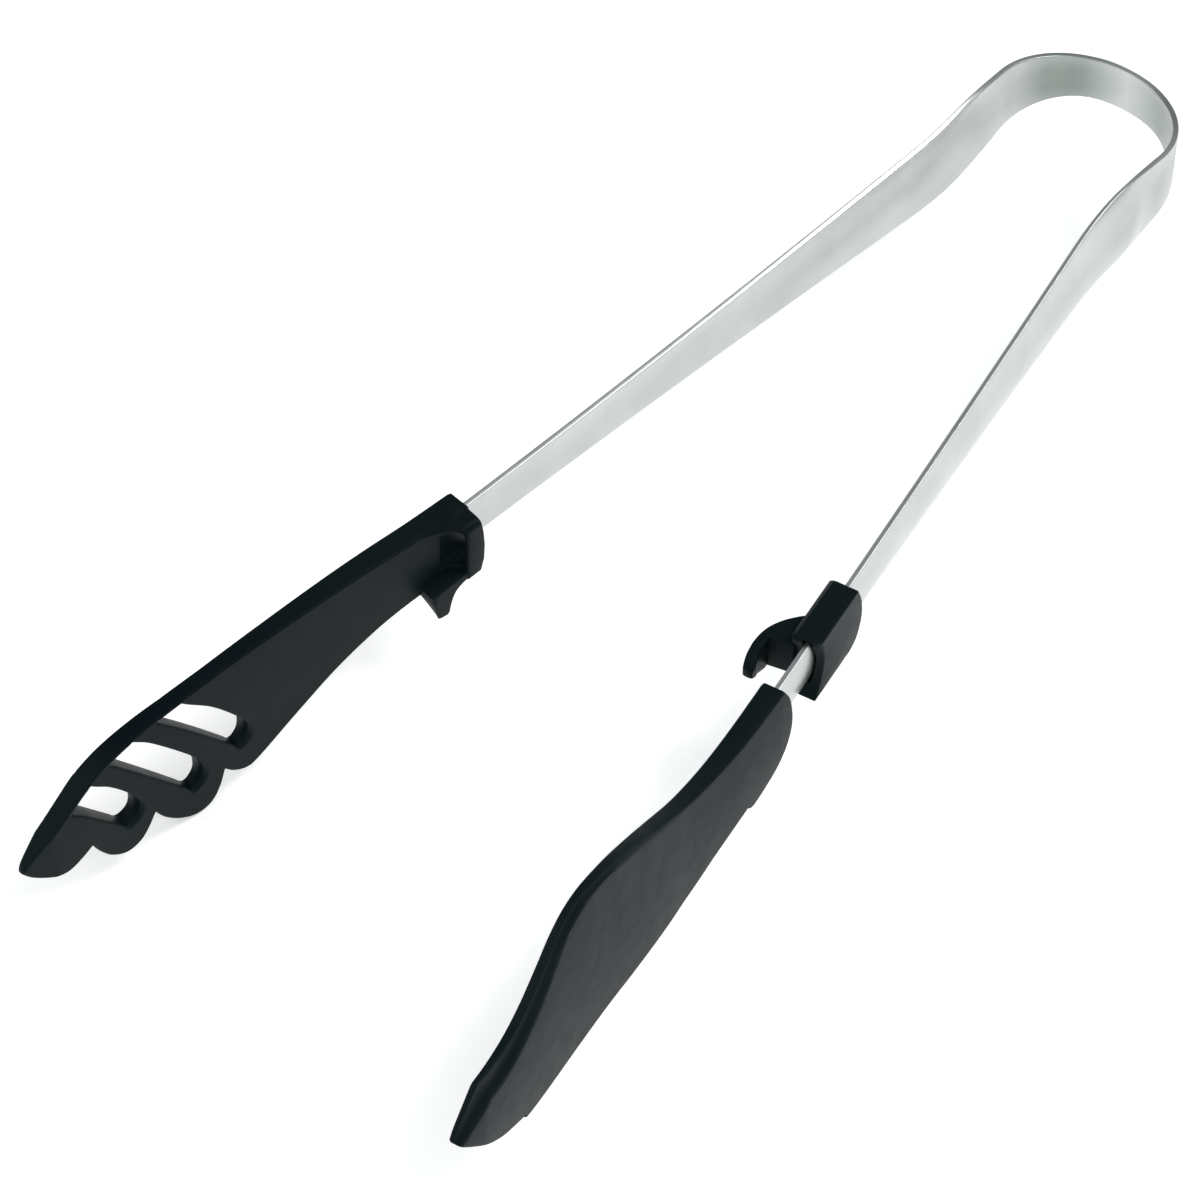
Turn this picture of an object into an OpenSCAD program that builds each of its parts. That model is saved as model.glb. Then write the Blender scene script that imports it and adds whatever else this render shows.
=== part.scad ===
// Spring loaded kitchen tongs: one bent strip of stainless sheet forms the spring loop and both arms, a
// slotted nylon head and a plain nylon blade are moulded over its ends, and a hooked sleeve slides on one arm
// to lock the tongs shut. The tongs lie on their side: +X points out of the handle end, the tips lie towards
// -X, +Y is the slotted head's side and +Z runs along the width of the strip. The origin is on the inner face
// of the loop's crown, halfway across the strip, where the tongs hang on a hook.

/* [Steel strip] */
// Thickness of the sheet
sheet_t = 1.2; // [1:0.1:1.5]
// Width of the strip at the crown of the loop
crown_w = 11.2; // [10:0.1:12]
// Width that the shoulders taper from
shoulder_w = 20.4; // [19:0.1:21]
// Width of the strip where it enters the heads
head_w = 10.3; // [10:0.1:10.5]
// Radius of the dished section at the shoulders, measured on the hollow side
dish_r = 19.8; // [18:0.1:24]
// Radius of the dished section at the heads
dish_r_head = 28.6; // [26:0.1:32]

/* [Loop] */
// Inner radius of the short crown arc
crown_r = 27.5; // [26:0.5:29]
// Turn of the crown arc on each side, in degrees
crown_turn = 8; // [7:0.5:9]
// Inner radius of the sides of the loop
side_r = 17.8; // [17.5:0.1:18.2]
// Turn of each side of the loop, in degrees
side_turn = 83.5; // [83:0.5:84]
// Straight stretch after each side of the loop
neck_len = 14; // [13:0.5:15]
// Radius of the gentle outward bend that leads into the arm
waist_r = 105; // [100:1:110]
// Angle between each arm and the middle of the open tongs, in degrees
arm_angle = 7.7; // [7.5:0.1:7.9]

/* [Arms and heads] */
// Distance from the crown to the start of the heads, along the strip
head_start = 190; // [189.5:0.5:190.5]
// Height of the heads above the middle of the strip at their arm end
head_top = 7.2; // [7:0.1:7.4]
// Length of the flat tang inside each head
tang_len = 22; // [20:1:24]
// Width of the tang
tang_w = 8; // [7:0.5:8.5]
// Width at the tang's waist, which locks the moulded head on
tang_waist_w = 5; // [4:0.5:6]

/* [Slots] */
// Height of the rim left above the slots
rim_h = 1.1; // [0.9:0.1:1.5]

/* [Lock slider] */
// Length of the slider's top face
slider_len = 14.9; // [14.5:0.1:15.3]
// Gap between the slider and the strip
slider_gap = 0.3; // [0.25:0.05:0.4]
// Thickness of the hook's finger
finger_t = 2.1; // [1.9:0.1:2.1]
// Reach of the hook from the strip's inner edges towards the other arm
hook_reach = 9.3; // [9.2:0.1:9.4]

/* [Hidden] */
$fn = 64;
steel = [0.78, 0.78, 0.77];
nylon = [0.07, 0.075, 0.08];

// Ends of the strip's stretches, measured from the crown along its inner face
crown_end = arc_len(crown_r, crown_turn);
side_end = crown_end + arc_len(side_r, side_turn);
neck_end = side_end + neck_len;
waist_end = neck_end + arc_len(waist_r, crown_turn + side_turn - 90 + arm_angle);

// The strip is dished from here on, and each arm starts where the dish is complete
dish_start = 30;
arm_start = 44;
loop_step = 2;
arm_step = 6;
sheet_end = 191.6;
shoulder_at = 48;
taper_power = 1.7;

// Cuts that pass right through a head or the slider are this much larger than it
over = 40;
tang_start = sheet_end + 1;
socket_gap = 0.15;

// Half outline of the tang: distance along the arm, half width
tang_half = [
    [tang_start, tang_w / 2],
    [tang_start + 0.3 * tang_len, tang_w / 2],
    [tang_start + 0.35 * tang_len, tang_waist_w / 2],
    [tang_start + 0.55 * tang_len, tang_waist_w / 2],
    [tang_start + 0.6 * tang_len, tang_w / 2],
    [tang_start + tang_len, tang_w / 2]
];

function arc_len(r, turn) = r * turn * PI / 180;
function mix(a, b, t) = a + (b - a) * t;
function ease(s, from, to) = let (t = min(max((s - from) / (to - from), 0), 1)) t * t * (3 - 2 * t);

// A place and heading [x, y, heading] moved on by len along an arc of radius r, or a straight line for r = 0
function onward(p, len, r) =
    let (turn = r == 0 ? 0 : len / r * 180 / PI)
    r == 0
        ? [p.x + len * cos(p.z), p.y + len * sin(p.z), p.z]
        : [p.x + r * (sin(p.z + turn) - sin(p.z)), p.y - r * (cos(p.z + turn) - cos(p.z)), p.z + turn];

// Place and heading at the distance s from the crown, on the inner face of the +Y half of the strip
function place(s) =
    s <= crown_end ? onward([0, 0, 90], s, crown_r)
    : s <= side_end ? onward(place(crown_end), s - crown_end, side_r)
    : s <= neck_end ? onward(place(side_end), s - side_end, 0)
    : s <= waist_end ? onward(place(neck_end), s - neck_end, -waist_r)
    : onward(place(waist_end), s - waist_end, 0);

// Width of the strip, narrow at the crown, widest at the shoulders and tapering to the heads
function taper(s) =
    head_w + (shoulder_w - head_w) * pow(max(head_start - s, 0) / (head_start - shoulder_at), taper_power);
function strip_w(s) = mix(crown_w, taper(s), ease(s, 7, 50));

// Hollow radius of the dished section, very large where the strip is still flat
function section_r(s) =
    mix(dish_r, dish_r_head, (s - shoulder_at) / (head_start - shoulder_at))
    / max(ease(s, dish_start, arm_start), 0.001);

// Cross-section at s as pairs [outward, up], round the inner face and back along the outer face
section_u = [-1, -0.67, -0.33, 0, 0.33, 0.67, 1];
function dish(s, up) = sqrt(pow(section_r(s), 2) - up * up);
function inner_pt(s, u) =
    let (up = u * strip_w(s) / 2)
    [dish(s, up) - dish(s, strip_w(s) / 2), up];
function outer_pt(s, u) =
    let (up = u * strip_w(s) / 2)
    inner_pt(s, u) + sheet_t * [dish(s, up), up] / section_r(s);
function backwards(list) = [for (i = [len(list) - 1:-1:0]) list[i]];
function section(s) =
    concat([for (u = section_u) inner_pt(s, u)], [for (u = backwards(section_u)) outer_pt(s, u)]);

// Flat section of the tang
function flat_section(half_w) =
    concat([for (u = section_u) [0, u * half_w]], [for (u = backwards(section_u)) [sheet_t, u * half_w]]);

// A section set upright across the strip's path; side is 1 for the +Y half and -1 for the -Y half
function upright(s, side, points) =
    let (p = place(s))
    [for (q = points) [p.x + q.x * sin(p.z), side * (p.y - q.x * cos(p.z)), q.y]];

// Points through hand-set places on one smooth stretch, leaving out the last, where the next stretch begins
curve_steps = 6;
function curve(p) = [
    for (i = [0:len(p) - 2], j = [0:curve_steps - 1])
        let (t = j / curve_steps, a = p[max(i - 1, 0)], b = p[i], c = p[i + 1], d = p[min(i + 2, len(p) - 1)])
        (2 * b + (c - a) * t + (2 * a - 5 * b + 4 * c - d) * t * t + (3 * b - a - 3 * c + d) * t * t * t) / 2
];

// One solid through a row of rings with equal numbers of points
module skin(rings) {
    n = len(rings[0]);
    last = len(rings) - 1;
    half = n / 2;
    walls = [
        for (i = [0:last - 1], j = [0:n - 1])
            [i * n + j, i * n + (j + 1) % n, (i + 1) * n + (j + 1) % n, (i + 1) * n + j]
    ];
    start_cap = [for (j = [0:half - 2]) [j, n - 1 - j, n - 2 - j, j + 1]];
    end_cap = [for (f = start_cap) [for (k = [3:-1:0]) last * n + f[k]]];
    polyhedron(points = [for (r = rings, q = r) q], faces = concat(walls, start_cap, end_cap), convexity = 6);
}

// Children drawn with X along the arm from the crown, Y outward from the strip's inner edges and Z up
module on_arm(side) {
    p = place(head_start);
    mirror([0, side > 0 ? 0 : 1, 0])
        translate([p.x, p.y, 0])
            rotate(p.z)
                mirror([0, 1, 0])
                    translate([-head_start, 0, 0])
                        children();
}

// A side outline (distance along the arm, height) made solid from one outward offset to another
module across(from, to) {
    translate([0, to, 0])
        rotate([90, 0, 0])
            linear_extrude(to - from)
                children();
}

// A cross-section (outward offset, height) made solid from one distance along the arm to another
module along(from, to) {
    translate([from, 0, 0])
        rotate([90, 0, 90])
            linear_extrude(to - from)
                children();
}

// A plan outline (distance along the arm, outward offset) made solid over the full height
module upward() {
    translate([0, 0, -over])
        linear_extrude(2 * over)
            children();
}

// Recess that the strip's dished end and its tang fill
module strip_socket() {
    mouth_w = head_w + 2 * socket_gap;
    translate([head_start - over, -socket_gap, -mouth_w / 2])
        cube([over + tang_start - head_start, sheet_t + 0.47 + 2 * socket_gap, mouth_w]);
    across(0, sheet_t)
        polygon(concat(tang_half, [for (p = backwards(tang_half)) [p.x, -p.y]]));
}

module spring_loop() {
    steps = arm_start / loop_step;
    color(steel)
        skin([for (i = [-steps:steps]) let (s = abs(i) * loop_step) upright(s, i < 0 ? -1 : 1, section(s))]);
}

module arm_strip(side) {
    steps = ceil((sheet_end - arm_start) / arm_step);
    stations = [for (i = [0:steps]) mix(arm_start, sheet_end, i / steps)];
    rings = concat(
        [for (s = stations) upright(s, side, section(s))],
        [for (p = tang_half) upright(p.x, side, flat_section(p.y))]
    );
    color(steel)
        skin(side > 0 ? rings : backwards(rings));
}

module slotted_arm() arm_strip(1);
module blade_arm() arm_strip(-1);

// Side outline of the slotted head: the back, then the nose and the scalloped edge back to the arm end
slotted_outline = concat(
    curve([[189.2, head_top], [201, 8], [212, 9.2], [226, 10.2], [245, 10.7], [262, 10.5], [272, 9.8],
        [280, 8], [286, 5], [290, 1.8], [293.5, -1.2], [297.5, -4.4], [300.9, -7.5], [301.8, -9.3]]),
    curve([[301.8, -9.3], [300, -11.6], [297.3, -13.8], [294.2, -15.6], [291.6, -16.1], [288.6, -15.1],
        [286, -13.6]]),
    curve([[286, -13.6], [284.2, -17.2], [281.6, -20.8], [278, -23.1], [274.6, -22.6], [272.3, -20.3],
        [270.5, -17.2]]),
    curve([[270.5, -17.2], [268.4, -20.8], [264.8, -24.6], [260.4, -27], [256.6, -26.4], [254.3, -23.3],
        [253, -19.5]]),
    curve([[253, -19.5], [250.8, -22], [247.6, -23.8], [244.3, -23.2], [234, -17.9], [224, -13.2],
        [214, -10.3], [206, -9.3], [198, -9.1], [191, -8.8]]),
    curve([[191, -8.8], [189.2, -7.8], [188.4, -5], [188.2, -1], [188.5, 3], [189.2, head_top]])
);

// Plan outline of the slotted head: inner face with the lock's flange, chisel tip, then the outer face
slotted_plan = concat(
    [[180, -5.7], [193.2, -5.7]],
    curve([[193.2, -5.7], [193.5, -3.9], [194.2, -2.9], [195.2, -2.2], [197, -1.7], [200, -1.4], [207, -1.2],
        [221, -0.8], [246, 0], [269, 0.5], [295, 1.1]]),
    [[295, 1.1], [303, 2.7], [303, 4.4], [296, 5.5]],
    curve([[296, 5.5], [286, 5.4], [276, 4.8], [265, 4], [255, 3.7], [240, 3.7], [215, 3.8], [190, 3.8],
        [180, 3.8]])
);

// Cross-section that takes the corners off the flange's inner edge
flange_section = [[-5.7, -7.8], [-5.2, -8.7], [-4.2, -9.2], [-4.2, -over], [over, -over], [over, over],
    [-4.2, over], [-4.4, head_top], [-5.3, head_top - 0.4], [-5.7, head_top - 1.2]];

// Draining slots: one side down to the round end and back up the other side, past the rim
slots = [
    [[266.5, 15], [262, 8.9], [255.2, 1.9], [249.4, -6], [247.1, -10], [246.8, -12.9], [247.4, -14.9],
        [249.2, -15.8], [251.2, -13.2], [256.2, -6.4], [262.9, 2.3], [267.2, 7.5], [274, 16]],
    [[280, 15], [275.2, 9], [270.1, 3.9], [261.3, -7.7], [258.9, -12.3], [258.4, -15.2], [258.9, -17.6],
        [261, -18.8], [263.5, -15.7], [266.9, -11], [275.6, 0.6], [279.5, 5.6], [287, 14]],
    [[292, 14], [285.4, 4.6], [280.9, 0.1], [277, -5], [274.8, -9], [274, -12], [274.7, -14.7],
        [277.1, -15.6], [279.3, -13.1], [285.6, -5], [289.6, -0.6], [299, 10]]
];
rim_back = 0.6;

module slot_cuts() {
    intersection() {
        across(-over, over)
            for (slot = slots)
                polygon(concat(curve(slot), [slot[len(slot) - 1]]));
        translate([-rim_back, 0, -rim_h])
            across(-over, over)
                polygon(slotted_outline);
    }
}

// Window in the flange that the hook's finger slides through
window_n = [-4.6, -0.75];
window_z = [-5.2, 4.8];
module lock_window() {
    translate([180, window_n[0], window_z[0]])
        cube([17, window_n[1] - window_n[0], window_z[1] - window_z[0]]);
}

// Tooth below the lock window, on a web that runs back to the flange, with its back sloped to a thin edge
tooth_outline = concat(
    curve([[191.5, -6.3], [197, -6.5], [202.2, -7.1]]),
    curve([[202.2, -7.1], [202, -9.4], [201.4, -12], [200.7, -14.6]]),
    [[200.7, -14.6], [198, -15]],
    curve([[198, -15], [197.4, -12.2], [196.1, -9.5], [193.6, -8.3], [191.5, -8]]),
    [[191.5, -8]]
);
tooth_section = [[-5.2, -6], [0.5, -6], [0.5, -8.8], [-1.4, -9.5], [-3.1, -11.4], [-4.2, -13.4],
    [-4.3, -15.2], [-5.2, -15.2]];
module tooth() {
    intersection() {
        across(-over, over)
            polygon(tooth_outline);
        along(190, 204)
            polygon(tooth_section);
    }
}

module slotted_head() {
    color(nylon)
        on_arm(1)
            difference() {
                union() {
                    intersection() {
                        across(-over, over)
                            polygon(slotted_outline);
                        upward()
                            polygon(slotted_plan);
                        along(180, 310)
                            polygon(flange_section);
                    }
                    tooth();
                }
                slot_cuts();
                lock_window();
                strip_socket();
            }
}

// Side outline of the blade: the humped back, the nose, the straight cutting edge and the round arm end
blade_end = [189, head_top + 0.3];
blade_outline = concat(
    curve([blade_end, [202, 7.6], [213, 8.8], [224, 11.8], [234, 16.5], [241, 20.3], [250, 24.8], [257, 27.4],
        [262.5, 28.5], [267.5, 28], [272, 25.8], [276, 22.6], [282, 18.3], [288, 15.8], [294, 15.1],
        [299.7, 15.6]]),
    curve([[299.7, 15.6], [303, 13], [306.2, 10.5], [308, 8.4]]),
    curve([[308, 8.4], [307, 6.4], [301.2, -0.3], [296.7, -4.9], [291.8, -8.8], [284.4, -12.8]]),
    curve([[284.4, -12.8], [282.4, -14.5], [265, -15.4], [253, -16.6], [243, -18.3], [232, -19.4],
        [222, -19.2], [212, -17.5], [201, -15.5]]),
    curve([[201, -15.5], [200.2, -16.9], [198.4, -17.7], [195.2, -17], [190.8, -15], [187.9, -12],
        [186.3, -8.1], [185.9, -4], [186.2, 0], [187.1, 3.8], blade_end])
);

// Plan outline of the blade: inner face, thin nose, outer face
blade_plan = concat(
    [[180, -1.7], [192, -1.7]],
    curve([[192, -1.7], [235, -1.8], [255, -1.2], [280, -1], [300, -0.7], [310, -0.4]]),
    [[310, -0.4], [310, 1.2]],
    curve([[310, 1.2], [300, 2.2], [276, 2.1], [256, 1.8], [224, 1.6], [213, 2], [202, 2.6], [190, 3.1],
        [180, 3.1]])
);

module blade_head() {
    color(nylon)
        on_arm(-1)
            difference() {
                intersection() {
                    across(-over, over)
                        polygon(blade_outline);
                    upward()
                        polygon(blade_plan);
                }
                strip_socket();
            }
}

// The slider's near end faces the blade and is hollowed to fit over the blade's round arm end
slider_near = 175;
slider_far = slider_near - slider_len;
slider_n = [-2.8, 3.6];
slider_bottom = -9.1;
slider_outline = concat(
    [[slider_far, head_top], [slider_near, head_top]],
    curve([[slider_near, head_top], [174.7, 4], [174.4, 0.6], [174.5, -4], [175.4, -7.6],
        [176.8, slider_bottom]]),
    [[176.8, slider_bottom], [162, slider_bottom]],
    curve([[162, slider_bottom], [159.6, -7.9], [158.3, -5.5], [157.7, -2], [158.3, 2.5],
        [slider_far, head_top]])
);

// Cross-section of the sleeve, with a bevel along its inner top edge
bevel = 1.1;
slider_section = [[slider_n[0], slider_bottom], [slider_n[1], slider_bottom], [slider_n[1], head_top],
    [slider_n[0] + bevel, head_top], [slider_n[0], head_top - bevel]];

// Hook on the slider's inner side: plan from its root on the sleeve round to the finger's tip and back
finger_back = finger_t - hook_reach;
hook_plan = concat(
    curve([[166.4, -2], [168.6, -4.8], [171.4, -7.3], [174.6, 0.4 - hook_reach], [178, -0.1 - hook_reach],
        [181.2, -0.1 - hook_reach], [182.9, 0.2 - hook_reach]]),
    [[182.9, 0.2 - hook_reach], [183.2, 0.6 - hook_reach], [183.2, finger_back], [182.9, finger_back + 0.3],
        [181.4, finger_back + 0.3], [180.4, finger_back], [176.2, finger_back], [175.5, -1.9], [166.4, -1.9]]
);

// Side outline of the hook: full height at the web and a lead-in on the finger
hook_side = [[165, 3.4], [178.5, 3.4], [181, 2.6], [183.2, 0.6], [183.2, -1.7], [177, -5], [165, -5]];

// Passage through the slider, clear of the strip at every place along its travel
passage_w = 12.6;
module passage() {
    translate([slider_far - over, -slider_gap, -passage_w / 2])
        cube([2 * over, sheet_t + 0.65 + 2 * slider_gap, passage_w]);
}

module lock_slider() {
    color(nylon)
        on_arm(-1)
            union() {
                difference() {
                    intersection() {
                        across(-over, over)
                            polygon(slider_outline);
                        along(slider_far - over, slider_near + over)
                            polygon(slider_section);
                    }
                    passage();
                }
                intersection() {
                    upward()
                        polygon(hook_plan);
                    across(-over, over)
                        polygon(hook_side);
                }
            }
}

spring_loop();
slotted_arm();
blade_arm();
slotted_head();
blade_head();
lock_slider();
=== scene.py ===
import math

import bmesh
import bpy
import numpy as np
from mathutils import Matrix, Vector
from mathutils.geometry import delaunay_2d_cdt


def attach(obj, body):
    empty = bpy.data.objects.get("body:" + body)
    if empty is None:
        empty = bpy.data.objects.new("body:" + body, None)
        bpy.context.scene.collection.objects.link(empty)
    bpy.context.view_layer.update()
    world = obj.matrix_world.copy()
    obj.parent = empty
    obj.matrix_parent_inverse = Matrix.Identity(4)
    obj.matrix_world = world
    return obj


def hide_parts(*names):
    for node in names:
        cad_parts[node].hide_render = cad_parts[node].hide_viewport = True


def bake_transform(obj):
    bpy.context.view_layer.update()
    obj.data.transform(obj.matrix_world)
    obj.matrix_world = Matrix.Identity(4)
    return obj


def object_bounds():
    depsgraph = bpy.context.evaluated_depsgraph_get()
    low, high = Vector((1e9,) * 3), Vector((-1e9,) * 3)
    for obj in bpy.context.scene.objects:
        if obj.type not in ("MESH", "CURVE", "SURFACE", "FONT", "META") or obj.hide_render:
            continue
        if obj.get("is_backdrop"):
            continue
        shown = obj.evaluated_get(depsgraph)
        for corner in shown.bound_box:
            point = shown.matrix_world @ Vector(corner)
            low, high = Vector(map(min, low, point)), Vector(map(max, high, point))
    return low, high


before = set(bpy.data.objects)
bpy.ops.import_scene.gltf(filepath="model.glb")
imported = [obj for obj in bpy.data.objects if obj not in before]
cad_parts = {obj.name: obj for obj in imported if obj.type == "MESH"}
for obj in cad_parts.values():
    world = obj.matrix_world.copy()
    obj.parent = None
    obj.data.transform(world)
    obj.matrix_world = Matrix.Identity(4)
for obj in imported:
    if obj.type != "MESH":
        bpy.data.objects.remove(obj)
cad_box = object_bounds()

# Lengths are in mm, as in part.scad, up to the point where a vertex is made. Places on an arm are given as s
# along the strip's path from the crown, n outward from the strip's inner face, and z up from its middle.
MM = 0.001
# far enough to be no limit, small enough to be nothing, and how close points are to be merged
FAR, TINY, MERGE = 1e9, 1e-9, 0.002

# ---------------------------------------------------------------- the strip, as in part.scad
SHEET = 1.2
CROWN_W, SHOULDER_W, HEAD_W = 11.2, 20.4, 10.3
DISH_R, DISH_R_HEAD = 19.8, 28.6
CROWN_R, CROWN_TURN = 27.5, 8.0
SIDE_R, SIDE_TURN = 17.8, 83.5
NECK, WAIST_R, ARM_ANGLE = 14.0, 105.0, 7.7
HEAD_START, SHOULDER_AT, TAPER_POWER = 190.0, 48.0, 1.7
# where the strip widens out of the loop, where its dish sets in, and the share of the dish that the loop has
WIDEN_SPAN, DISH_SPAN, LOOP_DISH = (7, 50), (30, 44), 0.001
STRIP_END = 204.0

CROWN_END = math.radians(CROWN_TURN) * CROWN_R
SIDE_END = CROWN_END + math.radians(SIDE_TURN) * SIDE_R
NECK_END = SIDE_END + NECK
WAIST_END = NECK_END + math.radians(CROWN_TURN + SIDE_TURN - 90 + ARM_ANGLE) * WAIST_R
# the path's stretches from the crown to the tip: where each ends, and its radius
PATH = (CROWN_END, CROWN_R), (SIDE_END, SIDE_R), (NECK_END, 0), (WAIST_END, -WAIST_R), (math.inf, 0)

# the softened cut edges, and the steps of the mesh: fine round the loop, coarse along the arm
EDGE_R, EDGE_STEPS, FACE_STEPS = 0.22, 4, 16
FINE_END, FINE_STEP, COARSE_STEP = 50, 0.75, 2.2


def onward(at, length, radius):
    """The place and heading (x, y, heading) after a stretch, with radius 0 for a straight one."""
    x, y, heading = at
    if radius == 0:
        return x + length * math.cos(heading), y + length * math.sin(heading), heading
    new = heading + length / radius
    x += radius * (math.sin(new) - math.sin(heading))
    y -= radius * (math.cos(new) - math.cos(heading))
    return x, y, new


def place(s):
    """Place and heading on the inner face of the +Y half, s mm from the crown."""
    at, done = (0.0, 0.0, math.pi / 2), 0.0
    for end, radius in PATH:
        at = onward(at, min(s, end) - done, radius)
        if s <= end:
            return at
        done = end


def ease(s, start, end):
    """From 0 to 1, gently, as s goes from start to end."""
    t = min(max((s - start) / (end - start), 0.0), 1.0)
    return t * t * (3 - 2 * t)


def strip_w(s):
    """The flat sheet's width."""
    t = max(HEAD_START - s, 0) / (HEAD_START - SHOULDER_AT)
    taper = HEAD_W + (SHOULDER_W - HEAD_W) * t ** TAPER_POWER
    return CROWN_W + (taper - CROWN_W) * ease(s, *WIDEN_SPAN)


def dish_radius(s):
    """The radius of the dish across the sheet, which is all but flat in the loop."""
    t = (s - SHOULDER_AT) / (HEAD_START - SHOULDER_AT)
    return (DISH_R + (DISH_R_HEAD - DISH_R) * t) / max(ease(s, *DISH_SPAN), LOOP_DISH)


def section(s):
    """Points round the dished sheet at s, as (outward offset, height, place across the flat sheet)."""
    radius, half = dish_radius(s), strip_w(s) / 2
    sag = math.sqrt(radius * radius - half * half)
    flat = half - EDGE_R
    quarter = [math.pi / 2 * k / EDGE_STEPS for k in range(EDGE_STEPS + 1)]
    # the inner face and the upper cut edge, as (place across, depth in the sheet)
    outline = [(-flat + 2 * flat * i / FACE_STEPS, 0) for i in range(FACE_STEPS + 1)]
    outline += [(flat + EDGE_R * math.sin(a), EDGE_R - EDGE_R * math.cos(a)) for a in quarter[1:]]
    outline += [(flat + EDGE_R * math.cos(a), SHEET - EDGE_R + EDGE_R * math.sin(a)) for a in quarter[:-1]]
    # the outer face and the lower edge are the same, turned about the middle of the sheet
    outline += [(-z, SHEET - depth) for z, depth in outline]
    points = []
    for z, depth in outline:
        rise = math.sqrt(max(radius * radius - z * z, TINY))
        points.append((rise - sag + depth * rise / radius, z + depth * z / radius, z))
    return points


# ---------------------------------------------------------------- meshes
def add(name, data):
    """A new object with this data, linked to the scene."""
    ob = bpy.data.objects.new(name, data)
    bpy.context.scene.collection.objects.link(ob)
    return ob


def soften(ob, angle=38):
    """Shade smooth, except over edges sharper than the angle in degrees."""
    mesh = ob.data
    mesh.polygons.foreach_set("use_smooth", [True] * len(mesh.polygons))
    mesh.set_sharp_from_angle(angle=math.radians(angle))


def strip_half(name, side):
    """One half of the bent strip, from the crown into its head, as a closed mesh."""
    stations = [*np.arange(0, FINE_END, FINE_STEP), *np.arange(FINE_END, STRIP_END + TINY, COARSE_STEP)]
    verts, along, across, rings = [], [], [], []
    for s in stations:
        x, y, heading = place(s)
        first = len(verts)
        for n, z, flat_z in section(s):
            verts.append(((x + n * math.sin(heading)) * MM, side * (y - n * math.cos(heading)) * MM, z * MM))
            along.append(s)
            across.append(flat_z)
        rings.append(list(range(first, len(verts))))
    faces = []
    for a, b in zip(rings, rings[1:]):
        a_next, b_next = a[1:] + a[:1], b[1:] + b[:1]
        faces += zip(a, a_next, b_next, b)
    faces += [rings[0][::-1], rings[-1]]
    mesh = bpy.data.meshes.new(name)
    mesh.from_pydata(verts, [], [tuple(face)[::side] for face in faces])
    for label, values in (("along", along), ("across", across)):
        attribute = mesh.attributes.new(label, "FLOAT", "POINT")
        attribute.data.foreach_set("value", np.array(values, np.float32) * MM)
    mesh.update()
    ob = add(name, mesh)
    soften(ob, 50)
    return ob


def solid(name, verts, faces):
    """A closed mesh with merged points and its faces turned outwards."""
    mesh = bpy.data.meshes.new(name)
    mesh.from_pydata([tuple(v) for v in verts], [], faces)
    bm = bmesh.new()
    bm.from_mesh(mesh)
    bmesh.ops.remove_doubles(bm, verts=bm.verts, dist=MERGE * MM)
    bmesh.ops.delete(bm, geom=[v for v in bm.verts if not v.link_faces], context="VERTS")
    bmesh.ops.recalc_face_normals(bm, faces=bm.faces)
    if bm.calc_volume(signed=True) < 0:
        bmesh.ops.reverse_faces(bm, faces=bm.faces)
    bm.to_mesh(mesh)
    bm.free()
    return add(name, mesh)


def combine(ob, other, operation):
    """Join ob with the closed mesh other, or cut it by it; other is used up."""
    modifier = ob.modifiers.new("combine", "BOOLEAN")
    modifier.operation, modifier.solver, modifier.object = operation, "EXACT", other
    bpy.context.view_layer.update()
    made = bpy.data.meshes.new_from_object(ob.evaluated_get(bpy.context.evaluated_depsgraph_get()))
    ob.modifiers.clear()
    old = ob.data
    ob.data = made
    made.name = ob.name
    bpy.data.meshes.remove(old)
    bpy.data.objects.remove(other)


# ---------------------------------------------------------------- curves and tables
def spline(a, b, c, d, t):
    """The value at t, from 0 to 1, on the smooth way from b to c, which comes from a and goes on to d."""
    return (2 * b + (c - a) * t + (2 * a - 5 * b + 4 * c - d) * t * t + (3 * b - a - 3 * c + d) * t ** 3) / 2


def curve(points, steps=6):
    """Points on a smooth stretch through given places, without its last point."""
    out = []
    for i in range(len(points) - 1):
        around = points[max(i - 1, 0)], points[i], points[i + 1], points[min(i + 2, len(points) - 1)]
        out += [tuple(spline(*values, k / steps) for values in zip(*around)) for k in range(steps)]
    return out


def table(pairs):
    """A function that runs straight from one listed pair to the next."""
    places, values = zip(*pairs)
    return lambda s: np.interp(s, places, values)


def smooth_table(pairs):
    """A function that runs smoothly through listed pairs."""
    return table(curve(pairs, steps=8) + [pairs[-1]])


# ---------------------------------------------------------------- mouldings: plates with softened edges
# rings of points set in from an edge, as shares of its radius, and how clear of other edges they stay
RING_SHARES = 0.1, 0.3, 0.6, 1.0, 1.35
RING_CLEAR = 0.93
# the grid that fills the rest: row spacing, clearance from edges in mm, and from placed points as a share
ROW_SHARE, GRID_CLEAR, GRID_GAP = 0.87, 0.5, 0.45
# the least thickness where softened edges meet, and how close the triangulation tells points apart
THINNEST, TRIANGLE_GAP = 0.02, 1e-5


def resample(loop, step):
    """The closed outline with points about step apart, keeping its own points."""
    out = []
    for p, q in zip(loop, loop[1:] + loop[:1]):
        count = max(1, int(round(math.dist(p, q) / step)))
        for k in range(count):
            t = k / count
            out.append((p[0] + (q[0] - p[0]) * t, p[1] + (q[1] - p[1]) * t))
    return out


def area(loop):
    """The loop's area, positive where it turns left."""
    a = np.array(loop)
    b = np.roll(a, -1, 0)
    return 0.5 * float(np.sum(a[:, 0] * b[:, 1] - b[:, 0] * a[:, 1]))


def inside(points, loop):
    """Which points lie inside the closed loop."""
    x, y = points.T
    hit = np.zeros(len(points), bool)
    for (x1, y1), (x2, y2) in zip(loop, loop[1:] + loop[:1]):
        if y1 != y2:
            hit ^= ((y1 > y) != (y2 > y)) & (x < (x2 - x1) * (y - y1) / (y2 - y1) + x1)
    return hit


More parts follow.
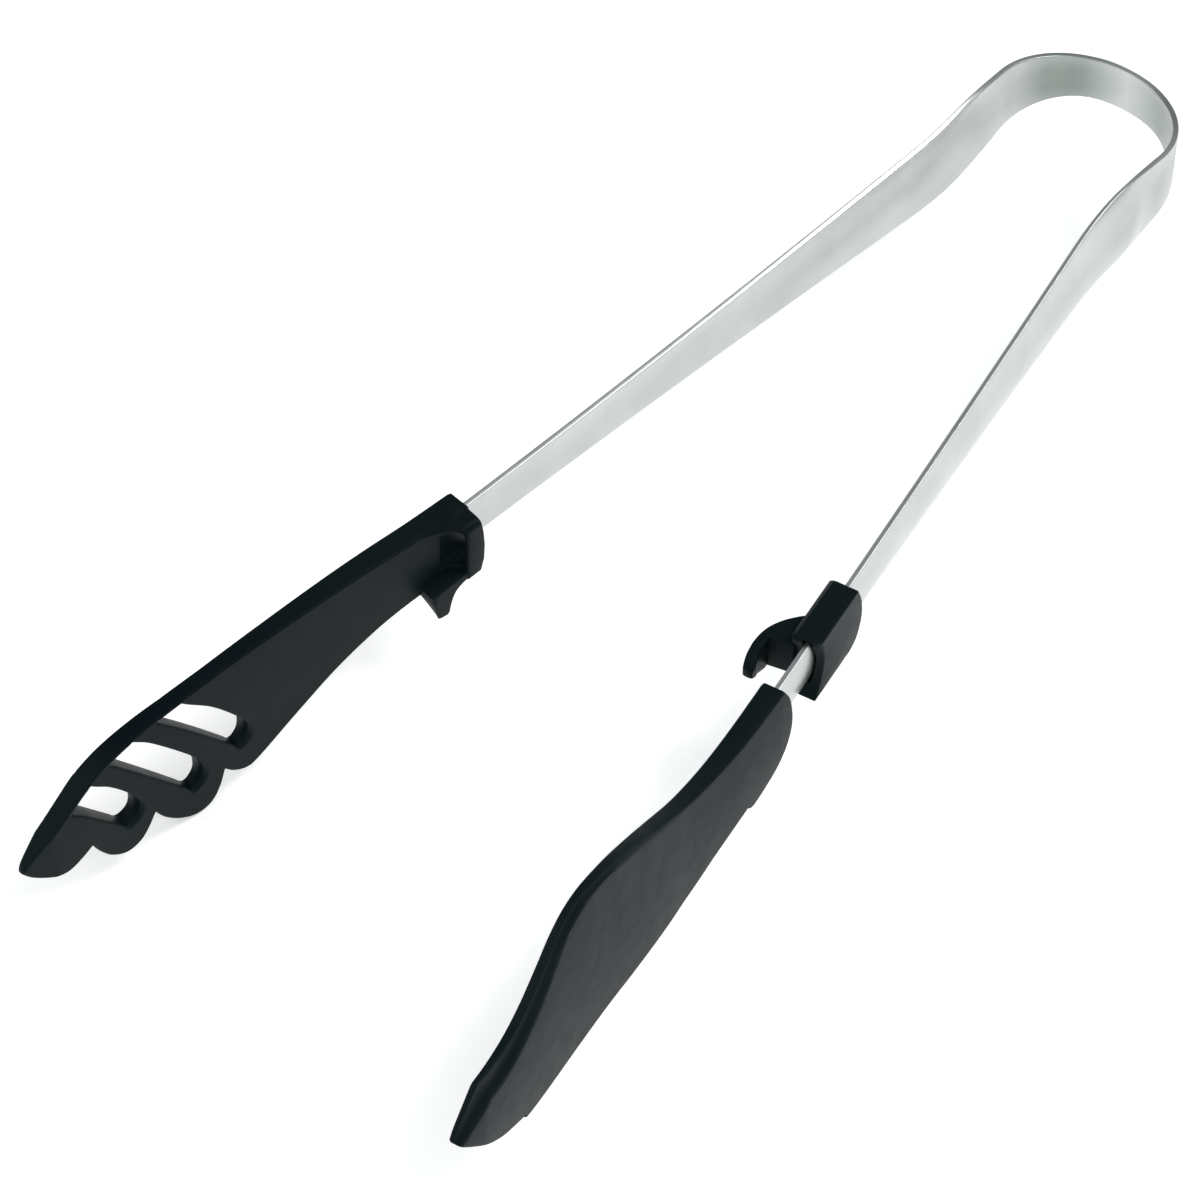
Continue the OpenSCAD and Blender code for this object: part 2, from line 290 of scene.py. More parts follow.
def within(points, loops):
    """Which points lie inside the outline, the first loop, and outside its holes, the others."""
    hit = inside(points, loops[0])
    for hole in loops[1:]:
        hit &= ~inside(points, hole)
    return hit


def distance(points, line):
    """Each point's distance from the open line."""
    best = np.full(len(points), FAR)
    ends = np.array(line, float)
    for p, q in zip(ends[:-1], ends[1:]):
        d = q - p
        t = np.clip(((points - p) @ d) / max(float(d @ d), TINY), 0, 1)
        best = np.minimum(best, np.linalg.norm(points - (p + t[:, None] * d), axis=1))
    return best


def nearest(points, loops):
    """Each point's distance from the nearest of the closed loops, or FAR where there are none."""
    return np.min([np.full(len(points), FAR)] + [distance(points, loop + loop[:1]) for loop in loops], axis=0)


def away(s, z, line):
    """The distance from the open line of each place (s, z)."""
    return distance(np.stack([s, z], 1), line)


def at_each(radius, a, b):
    """An edge's radius at each place, from a plain number or a function of the place."""
    return radius(a, b) if callable(radius) else np.full(np.shape(a), float(radius))


def rounding(d, radius):
    """How far an edge of this radius falls at the distance d from it."""
    radius = np.maximum(radius, TINY)
    x = np.clip(radius - d, 0, radius)
    return radius - np.sqrt(radius * radius - x * x)


def inset_rings(loops, radii, rows):
    """Points set in from every loop, close together where its softened edge curves, and at the given rows."""
    rings = []
    for loop, (low_r, high_r) in zip(loops, radii):
        at = np.array(loop)
        along = np.roll(at, -1, 0) - np.roll(at, 1, 0)
        along /= np.maximum(np.linalg.norm(along, axis=1)[:, None], TINY)
        inward = np.stack([-along[:, 1], along[:, 0]], 1)
        radius = np.maximum(at_each(low_r, *at.T), at_each(high_r, *at.T))
        for offset in [radius * share for share in RING_SHARES] + [0 * radius + row for row in rows]:
            ring = at + inward * offset[:, None]
            rings.append(ring[within(ring, loops) & (nearest(ring, loops) > offset * RING_CLEAR)])
    return np.concatenate(rings)


def filling(loops, placed, spacing):
    """A staggered grid of points over the plate, clear of its edges and of the points placed before."""
    (left, low), (right, high) = np.min(loops[0], axis=0), np.max(loops[0], axis=0)
    a, b = np.meshgrid(np.arange(left, right, spacing), np.arange(low, high, spacing * ROW_SHARE))
    a[1::2] += spacing / 2
    grid = np.stack([a.ravel(), b.ravel()], 1)
    grid = grid[within(grid, loops)]
    gap = np.array([np.min(np.linalg.norm(placed - p, axis=1)) for p in grid])
    return grid[(nearest(grid, loops) > GRID_CLEAR) & (gap > GRID_GAP * spacing)]


def triangulate(loops, others):
    """The plate's points and its triangles, all turning left."""
    borders, points = [], []
    for loop in loops:
        first, count = len(points), len(loop)
        borders += [(first + i, first + (i + 1) % count) for i in range(count)]
        points += loop
    everything = [Vector(p) for p in np.concatenate([points, *others])]
    at, _, found, _, _, _ = delaunay_2d_cdt(everything, borders, [], 0, TRIANGLE_GAP)
    at, tri = np.array([tuple(v) for v in at]), np.array(found)
    tri = tri[within(at[tri].mean(1), loops)]
    p, q, r = at[tri[:, 0]], at[tri[:, 1]], at[tri[:, 2]]
    turn = (q[:, 0] - p[:, 0]) * (r[:, 1] - p[:, 1]) - (q[:, 1] - p[:, 1]) * (r[:, 0] - p[:, 0])
    tri[turn < 0] = tri[turn < 0][:, ::-1]
    return at, tri


def moulding(name, outline, low, high, to_frame,
             holes=(), soft=(0.4, 0.4), hole_soft=None, grid=2.0, step=0.8, rows=()):
    """A plate over the outline in (a, b), from low(a, b) to high(a, b), as a closed mesh.

    soft and hole_soft hold the radii of its low and high edges, round the outside and round the holes.
    Its points are step apart along the edges and grid apart inside, with more at the distances in rows.
    """
    hole_soft = hole_soft or soft
    loops = [resample(loop, step) for loop in (outline, *holes)]
    # the outline turns left and the holes right, so that inward is always on the left
    loops = [loop if (area(loop) > 0) == (i == 0) else loop[::-1] for i, loop in enumerate(loops)]
    rings = inset_rings(loops, [soft] + [hole_soft] * len(holes), rows)
    at, tri = triangulate(loops, [rings, filling(loops, rings, grid)])
    a, b = at.T
    rim, bore = nearest(at, loops[:1]), nearest(at, loops[1:])
    fall = [np.maximum(rounding(rim, at_each(r, a, b)), rounding(bore, at_each(hole_r, a, b)))
            for r, hole_r in zip(soft, hole_soft)]
    bottom = low(a, b) + fall[0]
    top = np.maximum(high(a, b) - fall[1], bottom + THINNEST)
    verts = [to_frame(*p) for face in (top, bottom) for p in zip(a, b, face)]
    count, tri = len(at), tri.tolist()
    faces = [tuple(t) for t in tri] + [tuple(i + count for i in t[::-1]) for t in tri]
    # a wall stands on every side that only one triangle has
    sides = dict.fromkeys((t[i], t[(i + 1) % 3]) for t in tri for i in range(3))
    faces += [(j, i, i + count, j + count) for i, j in sides if (j, i) not in sides]
    return solid(name, verts, faces)


def arm_point(side):
    """A function from (s, n, z) to a point in metres, on the +Y arm for side 1 or the -Y arm for side -1."""
    x0, y0, heading = place(HEAD_START)
    cos, sin = math.cos(heading), math.sin(heading)

    def to_frame(s, n, z):
        d = s - HEAD_START
        return (x0 + d * cos + n * sin) * MM, side * (y0 + d * sin - n * cos) * MM, z * MM

    return to_frame


to_left, to_right = arm_point(1), arm_point(-1)

# ---------------------------------------------------------------- slotted head: its plate, drawn in (s, z)
TOP = curve([
    (189.2, 7.2), (201, 8), (212, 9.2), (226, 10.2), (245, 10.7), (262, 10.5), (272, 9.8), (280, 8), (286, 5),
    (290, 1.8), (293.5, -1.2), (297.5, -4.4), (300.9, -7.5), (301.8, -9.3)])
# the tip, two scallops, a third that runs on into the long lower edge, and the end at the arm
SLOTTED_OUTLINE = (
    TOP
    + curve([(301.8, -9.3), (300, -11.6), (297.3, -13.8), (294.2, -15.6), (291.6, -16.1), (288.6, -15.1),
             (286, -13.6)])
    + curve([(286, -13.6), (284.2, -17.2), (281.6, -20.8), (278, -23.1), (274.6, -22.6), (272.3, -20.3),
             (270.5, -17.2)])
    + curve([(270.5, -17.2), (268.4, -20.8), (264.8, -24.6), (260.4, -27), (256.6, -26.4), (254.3, -23.3),
             (253, -19.5)])
    + curve([(253, -19.5), (250.8, -22), (247.6, -23.8), (244.3, -23.2), (234, -17.9), (224, -13.2),
             (214, -10.3), (206, -9.3), (198, -9.1), (191, -8.8)])
    + curve([(191, -8.8), (189.2, -7.8), (188.4, -5), (188.2, -1), (188.5, 3), (189.2, 7.2)]))
# each slot's two sides and round end, drawn past the rim that cuts them off, and the middles of those ends
SLOTS = (
    ((266.5, 15), (262, 8.9), (255.2, 1.9), (249.4, -6), (247.1, -10), (246.8, -12.9), (247.4, -14.9),
     (249.2, -15.8), (251.2, -13.2), (256.2, -6.4), (262.9, 2.3), (267.2, 7.5), (274, 16)),
    ((280, 15), (275.2, 9), (270.1, 3.9), (261.3, -7.7), (258.9, -12.3), (258.4, -15.2), (258.9, -17.6),
     (261, -18.8), (263.5, -15.7), (266.9, -11), (275.6, 0.6), (279.5, 5.6), (287, 14)),
    ((292, 14), (285.4, 4.6), (280.9, 0.1), (277, -5), (274.8, -9), (274, -12), (274.7, -14.7),
     (277.1, -15.6), (279.3, -13.1), (285.6, -5), (289.6, -0.6), (299, 10)))
SLOT_ENDS = (246.5, -14.5), (258.3, -17), (274.6, -13)
# the rim left above the slots: how far below the upper edge, and how far back along it
RIM, RIM_BACK = 1.1, 0.6
top_z, rim_z = table(TOP), table([(s - RIM_BACK, z - RIM) for s, z in TOP])
# the plate's inner and outer faces, and how deep the outer one rolls off at the upper edge
slotted_in = table([
    (180, -1.5), (197.6, -1.5), (207, -1.2), (221, -0.8), (246, 0), (269, 0.5), (295, 1.1), (303, 2.7)])
slotted_out = table([
    (180, 3.8), (190, 3.8), (215, 3.8), (240, 3.7), (255, 3.7), (265, 4), (276, 4.8), (286, 5.5), (296, 5.6),
    (303, 4.4)])
tip_roll = table([(262, 0), (280, 0.3), (295, 0.6), (303, 0.7)])


def slotted_outer(s, z):
    """The outer face, rolled off at the upper edge towards the tip."""
    depth = tip_roll(s)
    width = 0.5 + 4 * depth
    x = np.clip(1 - away(s, z, TOP) / width, 0, 1)
    return slotted_out(s) - depth * (1 - np.sqrt(1 - x * x))


def slotted_low_edge(s, z):
    """The radius of the inner face's edge, which is nearly sharp where the flange joins it."""
    flange_s, flange_z, sharp, plain = 203, 3, 0.08, 0.45
    return np.where((s < flange_s) & (z > flange_z), sharp, plain)


def slot_low_edge(s, z):
    """The radius of the slots' edges on the inner face, which flare open at their round ends."""
    plain, flared, reach = 0.5, 1.6, 5
    near = np.min([np.hypot(s - a, z - b) for a, b in SLOT_ENDS], axis=0)
    return plain + (flared - plain) * np.clip(1 - near / reach, 0, 1)


def slot_loop(points):
    """A slot's outline: its listed sides and round end, cut off by the rim's curve across its top."""
    steps, fine_step = 8, 0.01
    path = curve(points, steps) + [points[-1]]
    below = [i for i, (s, z) in enumerate(path) if z < rim_z(s)]

    def crossing(inner, outer):
        """Where the side from inner to outer passes under the rim."""
        ds, dz = outer[0] - inner[0], outer[1] - inner[1]
        t = 0.0
        while inner[1] + t * dz < rim_z(inner[0] + t * ds):
            t += fine_step
        return inner[0] + t * ds, inner[1] + t * dz

    first, last = below[0], below[-1]
    start, end = crossing(path[first], path[first - 1]), crossing(path[last], path[last + 1])
    across = [end[0] + (start[0] - end[0]) * k / steps for k in range(1, steps)]
    return [start, *path[first:last + 1], end, *((s, float(rim_z(s))) for s in across)]


def slotted_plate():
    """The whole slotted plate, with nothing on it yet."""
    return moulding(
        "Slotted_Head", SLOTTED_OUTLINE, lambda s, z: slotted_in(s), slotted_outer,
        lambda s, z, n: to_left(s, n, z), holes=[slot_loop(points) for points in SLOTS],
        soft=(slotted_low_edge, 0.45), hole_soft=(slot_low_edge, 0.4))


# ---------------------------------------------------------------- slotted head: its flange, recess and tooth
# the flange stands across the arm's end, drawn in (n, z), with the lock's window and an arch over it
FLANGE_TOP, ARCH_FROM = 7.2, 4.4
FLANGE = [(-5.7, -7.8), (-5.2, -8.7), (-4.2, -9), (1, -9), (1, 6.5), (-1.4, 7.17), (-4.4, 7.17), (-5.3, 6.8),
          (-5.7, 6)]
WINDOW = [(-4.6, -5.2), (-0.75, -5.2), (-0.75, 3.6), (-1.2, 4.8), (-4, 4.8), (-4.6, 4.2)]
# its face towards the arm, how far that leans back, its back, and how far the arch reaches past the back
flange_face = table([(-9, 190.8), (-7.8, 189.2), (-5, 188.4), (-1, 188.2), (3, 188.5), (FLANGE_TOP, 189.2)])
FLANGE_LEAN = 0.07
flange_back = table([
    (-5.7, 193.2), (-3.9, 193.5), (-2.9, 194.2), (-2.2, 195.2), (-1.7, 196.6), (-1.4, 198.2), (1, 198.4)])
arch_reach = table([(-5.7, 0), (-5, 0.9), (-4, 2.3), (-2.6, 4.4), (-1.5, 5.6), (1, 5.6)])
# the box cut out behind the window, from one side to the other
RECESS_Z, RECESS_N, RECESS_S = (-5.1, 4.7), (-3.9, -0.5), (186, 197)
# the hooked tooth below the window, drawn in (s, z), and its inner and outer faces
TOOTH = (
    curve([(191.5, -6.3), (197, -6.5), (202.2, -7.1)], steps=4)
    + curve([(202.2, -7.1), (202, -9.4), (201.4, -12), (200.7, -14.6)], steps=3)
    + [(200.7, -14.6), (198, -15)]
    + curve([(198, -15), (197.4, -12.2), (196.1, -9.5), (193.6, -8.3), (191.5, -8)], steps=3)
    + [(191.5, -8)])
tooth_in = table([(191, -5.5), (194, -5.3), (201.6, -5.1), (202.2, -4.7)])
tooth_out = table([(-15.2, -4.3), (-13.4, -4.2), (-11.4, -3.1), (-9.5, -1.4), (-8.8, 0.5)])


def arch_share(z):
    """How far z is up from the foot of the arch to the flange's top, from 0 to 1."""
    return np.clip((z - ARCH_FROM) / (FLANGE_TOP - ARCH_FROM), 0, 1)


def flange_high(n, z):
    """The flange's back, drawn out into the arch above the window."""
    t = arch_share(z)
    return flange_back(n) + arch_reach(n) * (1 - np.sqrt(1 - t * t))


def flange_point(n, z, s):
    """A point of the flange, whose top follows the plate's upper edge."""
    return to_left(s, n, z + (top_z(s) - FLANGE_TOP) * arch_share(z))


def flange():
    """The flange with its window."""
    return moulding(
        "flange", FLANGE, lambda n, z: flange_face(z) + FLANGE_LEAN * (1 - n), flange_high, flange_point,
        holes=[WINDOW], hole_soft=(0.2, 0.3), grid=0.8, step=0.4)


def recess():
    """The box that is cut out of the plate behind the window."""
    (z0, z1), (n0, n1), (s0, s1) = RECESS_Z, RECESS_N, RECESS_S
    return moulding(
        "recess", [(z0, n0), (z1, n0), (z1, n1), (z0, n1)], lambda z, n: 0 * z + s0, lambda z, n: 0 * z + s1,
        lambda z, n, s: to_left(s, n, z), soft=(0.05, 0.05), grid=3, step=2)


def tooth():
    """The hooked tooth."""
    return moulding(
        "tooth", TOOTH, lambda s, z: tooth_in(s), lambda s, z: tooth_out(z), lambda s, z, n: to_left(s, n, z),
        soft=(0.3, 0.2), grid=0.9, step=0.5)


def slotted_head():
    """The slotted head in one piece, as it is moulded."""
    head = slotted_plate()
    combine(head, flange(), "UNION")
    combine(head, recess(), "DIFFERENCE")
    combine(head, tooth(), "UNION")
    soften(head)
    return head


# ---------------------------------------------------------------- blade head, drawn in (s, z)
BACK = curve([
    (189, 7.5), (202, 7.6), (213, 8.8), (224, 11.8), (234, 16.5), (241, 20.3), (250, 24.8), (257, 27.4),
    (262.5, 28.5), (267.5, 28), (272, 25.8), (276, 22.6), (282, 18.3), (288, 15.8), (294, 15.1),
    (299.7, 15.6)])
# the nose, the slanted end, the lower edge and the end at the arm
BLADE_OUTLINE = (
    BACK
    + curve([(299.7, 15.6), (303, 13), (306.2, 10.5), (308, 8.4)])
    + curve([(308, 8.4), (307, 6.4), (301.2, -0.3), (296.7, -4.9), (291.8, -8.8), (284.4, -12.8)])
    + curve([(284.4, -12.8), (282.4, -14.5), (265, -15.4), (253, -16.6), (243, -18.3), (232, -19.4),
             (222, -19.2), (212, -17.5), (201, -15.5)])
    + curve([(201, -15.5), (200.2, -16.9), (198.4, -17.7), (195.2, -17), (190.8, -15), (187.9, -12),
             (186.3, -8.1), (185.9, -4), (186.3, 0), (187.1, 3.8), (189, 7.5)]))
# its inner and outer faces
blade_in = table([
    (180, -1.7), (192, -1.7), (235, -1.8), (255, -1.2), (280, -1), (300, -0.7), (310, -0.4)])
blade_out = table([
    (180, 3.7), (190, 3.7), (202, 3.2), (213, 2.6), (224, 2.2), (256, 2.4), (276, 2.7), (300, 2.8),
    (310, 1.8)])
# the outer face is gently bellied: the height of the belly's middle, its half width, how far the face falls
# over that half width, and after how many of them it stops falling
belly_z = table([(185, -4), (230, -2), (260, 5), (300, 3)])
belly_half = table([(185, 12), (230, 18), (260, 22), (300, 12)])
BELLY_FALL, BELLY_REACH = 0.7, 1.2
# a thin rim stands out past the blade's thick back and nose: its edge, width and drop, and the step's width
RIM_EDGE = BACK + [(299.7, 15.6), (308, 8.4)]
rim_wide = table([(235, 0), (262, 0.3), (275, 0.6), (285, 1.4), (293, 2.5), (299, 2.7), (303, 1.5), (308, 0)])
rim_drop = table([(225, 0), (245, 0.6), (262, 1), (285, 1.4), (300, 1.6), (310, 1.2)])
rim_slope = table([(262, 1), (290, 2.3), (300, 2.1), (308, 1.2)])
# extra rows of points, this far from the edge, that carry the step down to the rim
RIM_ROWS = 1.1, 1.7, 2.3, 2.9, 3.5, 4.1, 4.7, 5.3, 6


def blade_outer(s, z):
    """The outer face: gently bellied, and stepped down to the rim along the back."""
    fall = BELLY_FALL * np.clip(np.abs(z - belly_z(s)) / belly_half(s), 0, BELLY_REACH) ** 2
    t = np.clip((away(s, z, RIM_EDGE) - rim_wide(s)) / rim_slope(s), 0, 1)
    return blade_out(s) - fall - rim_drop(s) * (1 - t * t * (3 - 2 * t))


def blade_head():
    """The blade head in one piece, as it is moulded."""
    head = moulding(
        "Blade_Head", BLADE_OUTLINE, lambda s, z: blade_in(s), blade_outer, lambda s, z, n: to_right(s, n, z),
        soft=(0.5, 0.35), rows=RIM_ROWS)
    soften(head)
    return head


# ---------------------------------------------------------------- lock slider
# the sleeve and the strip's passage through it, drawn in (n, z); its far face is towards the handle
SLEEVE = [(-2.8, -9.1), (3.6, -9.1), (3.6, 7.2), (-1.7, 7.2), (-2.8, 6.1)]
PASSAGE = [(-0.3, -6.25), (1.6, -6.25), (1.98, -3.5), (2.15, -1.2), (2.15, 1.2), (1.98, 3.5), (1.6, 6.25),
           (-0.3, 6.25)]
sleeve_far = smooth_table([
    (-9.1, 162), (-7.9, 159.6), (-5.5, 158.3), (-2, 157.7), (2.5, 158.3), (7.2, 160.1)])
sleeve_near = smooth_table([
    (-9.1, 176.8), (-7.6, 175.4), (-4, 174.1), (0.6, 173.5), (4, 174), (7.2, 175)])
# how much further the near face leans out for each mm in from the sleeve's outer side
lean = table([(-9.1, 0), (-5, 0.25), (0, 0.6), (4, 0.6), (5.6, 0.55), (7.2, 0)])
SLEEVE_OUT, LEAN_REACH = 3.6, 2.2
# the hook, drawn in (s, n), and its upper and lower faces
HOOK = (
    curve([(166.4, -2.0), (168.6, -4.8), (171.4, -7.3), (174.6, -8.9), (178, -9.4), (181.2, -9.4),
           (182.9, -9.1)])
    + [(182.9, -9.1), (183.1, -8.7), (183.2, -7.2), (182.9, -6.9), (181.4, -6.9), (180.4, -7.2),
       (176.2, -7.25), (175.5, -1.9), (166.4, -1.9)])
hook_top = table([(160, 3.4), (178.5, 3.4), (181, 2.6), (183.2, 0.6)])
hook_low = table([(160, -5.2), (177, -5.2), (183.2, -1.8)])


def sleeve_end(n, z):
    """The near face, thinned towards the sleeve's outer side where it slips over the blade's arm end."""
    return sleeve_near(z) + lean(z) * np.clip(SLEEVE_OUT - n, 0, LEAN_REACH)


def lock_slider():
    """The sleeve and its hook in one piece, as they are moulded."""
    slider = moulding(
        "Lock_Slider", SLEEVE, lambda n, z: sleeve_far(z), sleeve_end, lambda n, z, s: to_right(s, n, z),
        holes=[PASSAGE], soft=(0.3, 0.3), hole_soft=(0.15, 0.15), grid=1.0, step=0.4)
    hook = moulding(
        "hook", HOOK, lambda s, n: hook_low(s), lambda s, n: hook_top(s), to_right,
        soft=(0.3, 0.3), grid=1.2, step=0.5)
    combine(slider, hook, "UNION")
    soften(slider)
    return slider


slotted, blade, slider = slotted_head(), blade_head(), lock_slider()
left = strip_half("Steel_Strip_Slotted_Side", 1)
right = strip_half("Steel_Strip_Blade_Side", -1)


# ---------------------------------------------------------------- materials
def principled(name):
    """A new material, its node tree and its shader."""
    material = bpy.data.materials.new(name)
    material.use_nodes = True
    return material, material.node_tree, material.node_tree.nodes["Principled BSDF"]


def connect(tree, target, inputs):
    """Set each named or numbered input of the node, to a plain value or to another node's output."""
    for key, value in inputs.items():
        if isinstance(value, bpy.types.NodeSocket):
            tree.links.new(value, target.inputs[key])
        else:
            target.inputs[key].default_value = value


def node(tree, kind, inputs, **settings):
    """A new shader node of this kind, with its settings made before its inputs."""
    made = tree.nodes.new("ShaderNode" + kind)
    for key, value in settings.items():
        setattr(made, key, value)
    connect(tree, made, inputs)
    return made


def maths(tree, operation, *values):
    """The result of one sum on the values."""
    return node(tree, "Math", dict(enumerate(values)), operation=operation).outputs[0]


def mix(tree, blend_type, factor, a, b):
    """Two colours mixed; the colour sockets are 6 and 7, and the colour output is 2."""
    made = node(tree, "Mix", {}, data_type="RGBA", blend_type=blend_type)
    connect(tree, made, {0: factor, 6: a, 7: b})
    return made.outputs[2]


def noise(tree, vector, scale, detail, rough):
    """Soft noise, with scale cells to the metre."""
    inputs = {"Vector": vector, "Scale": scale, "Detail": detail, "Roughness": rough}
    return node(tree, "TexNoise", inputs).outputs["Fac"]


def ramp(tree, source, stops):
    """A colour for each value of the source, between the stops (place, (red, green, blue))."""
    made = node(tree, "ValToRGB", {0: source})
    elements = made.color_ramp.elements
    for element, (at, _) in zip(elements, (stops[0], stops[-1])):
        element.position = at
    for at, _ in stops[1:-1]:
        elements.new(at)
    for element, (_, colour) in zip(elements, stops):
        element.color = (*colour, 1)
    return made.outputs[0]


def bump(tree, sources):
    """The normal after one bump for each (height, strength, depth in metres)."""
    normal = {}
    for height, strength, depth in sources:
        made = node(tree, "Bump", {"Height": height, "Strength": strength, "Distance": depth, **normal})
        normal = {"Normal": made.outputs["Normal"]}
    return normal


def stored(tree, name):
    """The strip's own place along or across it, in metres."""
    return node(tree, "Attribute", {}, attribute_name=name).outputs["Fac"]


def steel():
    """Brushed stainless: fine lines along the strip, painted reflection bands and painted shade round the
    bend, and a painted highlight towards the strip's edges.
    """
    material, tree, shader = principled("Brushed_Stainless")
    along, across = (stored(tree, name) for name in ("along", "across"))
    # the noise is drawn out fifty times along the strip, which makes the brushed lines
    drawn_out = node(tree, "CombineXYZ", {0: maths(tree, "MULTIPLY", along, 0.02), 1: across}).outputs[0]
    lines = noise(tree, drawn_out, scale=6000, detail=3, rough=0.6)
    cloud = noise(tree, node(tree, "TexCoord", {}).outputs["Object"], scale=90, detail=3, rough=0.55)
    # the painted reflection bands and painted shade change over the first 0.2 m from the crown, and a painted
    # highlight makes the strip lighter towards its edges
    share = node(tree, "MapRange", {"Value": along, "From Max": 0.2}).outputs["Result"]
    # painted reflection bands: light at the crown, painted shade darkest round the bend, slowly lighter along
    # the arm
    painted_reflection_bands = ramp(tree, share, [
        (0.0, (0.55, 0.57, 0.55)), (0.02, (0.45, 0.48, 0.46)), (0.05, (0.30, 0.33, 0.31)),
        (0.09, (0.27, 0.30, 0.28)), (0.125, (0.42, 0.44, 0.43)), (0.2, (0.45, 0.47, 0.46)),
        (0.3, (0.49, 0.51, 0.50)), (0.6, (0.51, 0.53, 0.52)), (1.0, (0.53, 0.55, 0.54))])
    # painted highlight: the colour is mixed towards light grey near the strip's edges
    painted_edge_highlight = node(tree, "MapRange", {
        "Value": maths(tree, "ABSOLUTE", across), "From Min": 0.0025, "From Max": 0.0095,
        "To Min": 0.0, "To Max": 0.35}).outputs["Result"]
    # the painted reflection bands with the painted edge highlight laid over them
    tone_with_painted_light = mix(tree, "MIX", painted_edge_highlight, painted_reflection_bands, (0.74, 0.75, 0.74, 1))
    patches = ramp(tree, cloud, [(0.3, (0.93, 0.93, 0.93)), (0.7, (1.05, 1.05, 1.05))])
    connect(tree, shader, {
        "Metallic": 1.0, "Base Color": mix(tree, "MULTIPLY", 1.0, tone_with_painted_light, patches),
        "Roughness": maths(tree, "MULTIPLY_ADD", lines, 0.16, 0.24), **bump(tree, [(lines, 0.12, 0.00003)])})
    return material


def nylon():
    """Satin black nylon with a faint moulded grain, and a painted sheen in soft clouds over its colour."""
    material, tree, shader = principled("Black_Nylon")
    coords = node(tree, "TexCoord", {}).outputs["Object"]
    # painted sheen: soft clouds where the black base colour is lighter
    cloud = noise(tree, coords, scale=22, detail=2, rough=0.45)
    fine = noise(tree, coords, scale=2500, detail=2, rough=0.6)
    wide = noise(tree, coords, scale=250, detail=2, rough=0.5)
    connect(tree, shader, {
        "Base Color": ramp(tree, cloud, [(0.35, (0.0015, 0.0050, 0.0068)), (0.65, (0.0052, 0.0105, 0.0108))]),
        "Roughness": maths(tree, "MULTIPLY_ADD", wide, 0.12, 0.36), "IOR": 1.33, "Specular IOR Level": 0.1,
        **bump(tree, [(fine, 0.08, 0.00002), (wide, 0.05, 0.0001)])})
    return material


def dress(ob, material):
    """Give the object this one material."""
    ob.data.materials.clear()
    ob.data.materials.append(material)


STEEL, NYLON = steel(), nylon()
for ob, material, slot in ((left, STEEL, "stainless"), (right, STEEL, "stainless"),
                           (slotted, NYLON, "nylon"), (blade, NYLON, "nylon"), (slider, NYLON, "nylon")):
    dress(ob, material)
for name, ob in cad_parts.items():
    dress(ob, STEEL if name in ("spring_loop", "slotted_arm", "blade_arm") else NYLON)

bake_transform(left)
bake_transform(right)
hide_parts("spring_loop", "slotted_arm")
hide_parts("blade_arm")
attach(slotted, "slotted_side")
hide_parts("slotted_head")
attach(blade, "blade_side")
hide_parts("blade_head")
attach(slider, "slider")
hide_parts("lock_slider")

# ---------------------------------------------------------------- floor, light, camera, in metres
# the floor's half width and its gap under the tongs, and the middle of the tongs
FLOOR_HALF, FLOOR_GAP = 6, 0.0002
MIDDLE = (-0.15, 0, 0)
# the camera's sensor in mm, as its lens is given, and the nearest and furthest that it sees
SENSOR_W, NEAREST, FURTHEST = 36, 0.05, 20


def floor_sheet(height):
    """A plain pale floor at this height."""
    mesh = bpy.data.meshes.new("Floor")
    corners = [(x * FLOOR_HALF, y * FLOOR_HALF, 0) for x, y in ((-1, -1), (1, -1), (1, 1), (-1, 1))]
    mesh.from_pydata(corners, [], [(0, 1, 2, 3)])
    material, tree, shader = principled("Floor")
    connect(tree, shader, {
        "Base Color": (0.93, 0.93, 0.93, 1), "Roughness": 0.9, "Specular IOR Level": 0.0,
        "Emission Color": (1, 1, 1, 1), "Emission Strength": 0.35})
    mesh.materials.append(material)
    sheet = add("Floor", mesh)
    sheet.location = (0, 0, height)
    return sheet


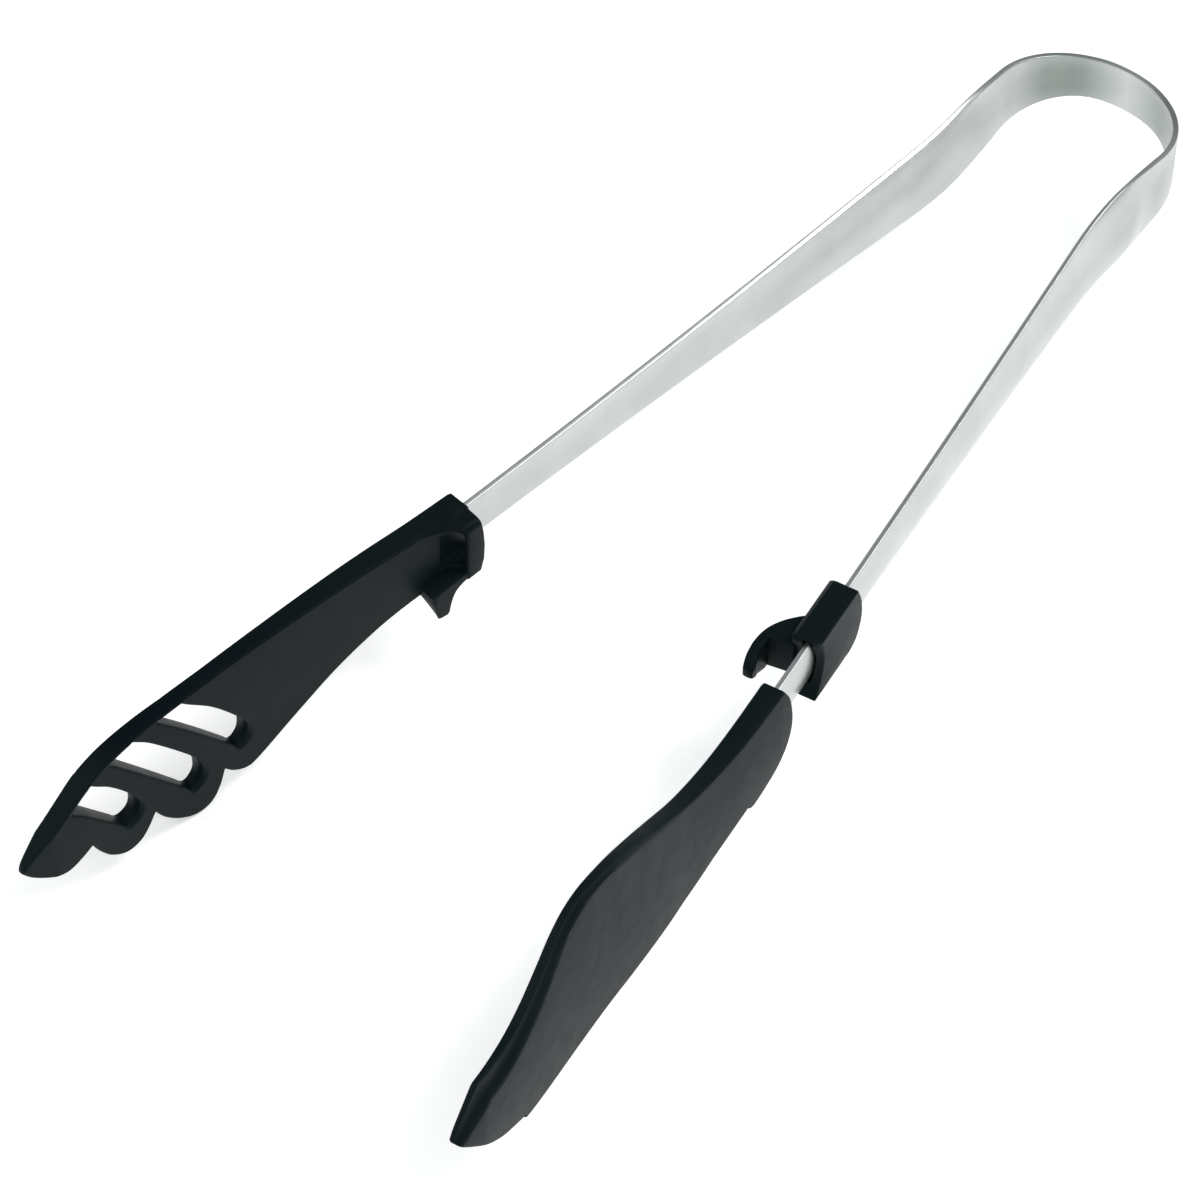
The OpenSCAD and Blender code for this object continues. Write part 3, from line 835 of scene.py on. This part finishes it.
def softbox(name, at, towards, size, watts):
    """A square light that faces the place towards."""
    light = bpy.data.lights.new(name, "AREA")
    light.shape, light.size, light.energy = "SQUARE", size, watts
    ob = add(name, light)
    ob.location = at
    ob.rotation_euler = (Vector(towards) - Vector(at)).to_track_quat("-Z", "Y").to_euler()


def studio_world():
    """Even, slightly cool light from all round."""
    world = bpy.data.worlds.new("Studio")
    world.use_nodes = True
    background = world.node_tree.nodes["Background"]
    connect(world.node_tree, background, {"Color": (0.93, 0.97, 1, 1), "Strength": 0.38})
    return world


def aimed_camera(at, azimuth, elevation, roll, lens):
    """A camera that looks along the azimuth and down by the elevation, rolled about its own axis."""
    azimuth, elevation, roll = (math.radians(angle) for angle in (azimuth, elevation, roll))
    level = math.cos(elevation)
    forward = Vector((-math.sin(azimuth) * level, math.cos(azimuth) * level, -math.sin(elevation)))
    right = forward.cross(Vector((0, 0, 1))).normalized()
    up = right.cross(forward)
    right, up = math.cos(roll) * right + math.sin(roll) * up, math.cos(roll) * up - math.sin(roll) * right
    data = bpy.data.cameras.new("Camera")
    data.sensor_width, data.lens, data.clip_start, data.clip_end = SENSOR_W, lens, NEAREST, FURTHEST
    matrix = Matrix((right, up, -forward)).transposed().to_4x4()
    matrix.translation = Vector(at)
    camera = add("Camera", data)
    camera.matrix_world = matrix
    return camera


floor = floor_sheet(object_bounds()[0][2] - FLOOR_GAP)
floor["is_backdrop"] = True
softbox("Key", at=(-0.9, -0.9, 1.6), towards=MIDDLE, size=3.0, watts=22)
softbox("Fill", at=(-1.2, 0.9, 1.1), towards=MIDDLE, size=1.4, watts=8)
softbox("Edge", at=(0.6, -0.55, 1.2), towards=(-0.12, 0, 0), size=0.5, watts=8)
scene = bpy.context.scene
scene.world = studio_world()
scene.camera = aimed_camera(
    at=(-0.72128, -0.40012, 0.85085), azimuth=-53.466, elevation=51.367, roll=0.993, lens=169.3)
scene.view_settings.view_transform = "Standard"

as_list = lambda box: [[float(c) for c in corner] for corner in box]
{"cad": as_list(cad_box), "visual": as_list(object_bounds())}
